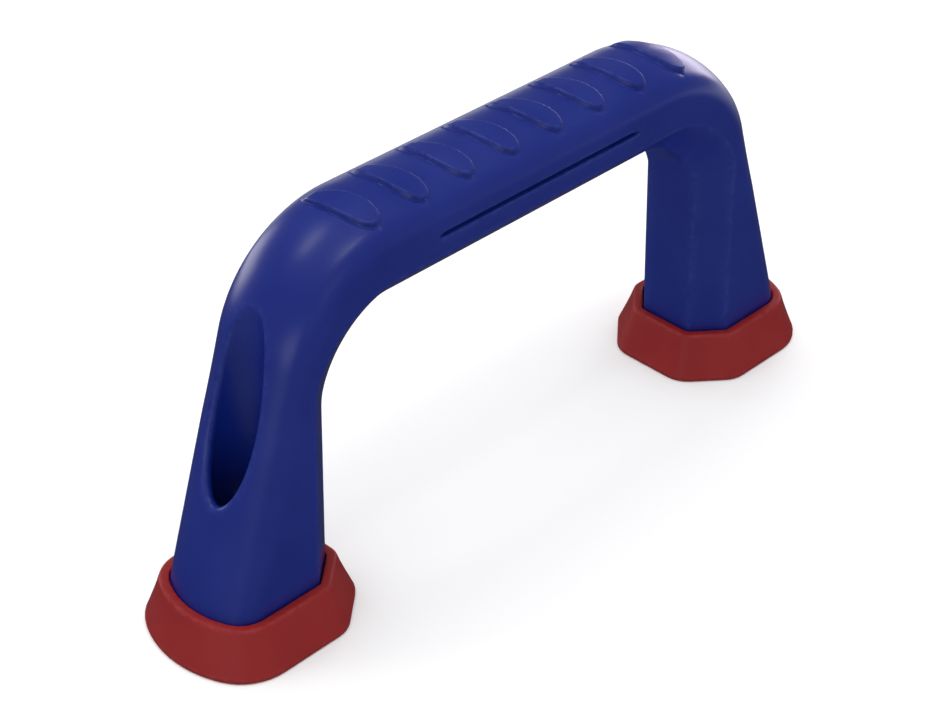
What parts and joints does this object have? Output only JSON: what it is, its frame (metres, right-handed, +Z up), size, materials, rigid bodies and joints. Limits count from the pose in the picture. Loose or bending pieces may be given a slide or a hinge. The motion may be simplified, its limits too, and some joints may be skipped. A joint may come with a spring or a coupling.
{
  "type": "kiteboard grab handle",
  "caption": "U-shaped moulded grab handle on soft flared feet, held to a board by a screw down through each leg.",
  "frame": {"origin": "midway between the two feet, on the plane that they stand on", "axes": "+X along the grip towards the right foot, +Y across the grip, +Z up from the board to the grip"},
  "size_m": [0.2196, 0.044, 0.104],
  "materials": {
    "handle_plastic": "satin moulded polyamide, dark blue",
    "foot_rubber": "soft matt moulded elastomer, dark red",
    "stainless_steel": "bright stainless steel"
  },
  "bodies": {
    "handle": {"handle_body": "handle_plastic", "left_foot": "foot_rubber", "right_foot": "foot_rubber"},
    "left_washer": {"left_washer": "stainless_steel"},
    "left_screw": {"left_screw": "stainless_steel"},
    "right_washer": {"right_washer": "stainless_steel"},
    "right_screw": {"right_screw": "stainless_steel"}
  },
  "joints": [
    {"name": "left_screw_drive", "type": "slide", "parent": "handle", "child": "left_washer", "axis": [0, 0, 1], "range_m": [-0.0095, 0.003]},
    {"name": "left_screw_turn", "type": "hinge", "parent": "left_washer", "child": "left_screw", "pos_m": [-0.085, 0, 0.026], "axis": [0, 0, 1], "range_deg": [-3420.5, 1080.5]},
    {"name": "right_screw_drive", "type": "slide", "parent": "handle", "child": "right_washer", "axis": [0, 0, 1], "range_m": [-0.0095, 0.003]},
    {"name": "right_screw_turn", "type": "hinge", "parent": "right_washer", "child": "right_screw", "pos_m": [0.085, 0, 0.026], "axis": [0, 0, 1], "range_deg": [-3420.5, 1080.5]}
  ],
  "couplings": [
    {"joint": "left_screw_turn", "follows": "left_screw_drive", "rad_per_m": 6283.2},
    {"joint": "right_screw_turn", "follows": "right_screw_drive", "rad_per_m": 6283.2}
  ]
}
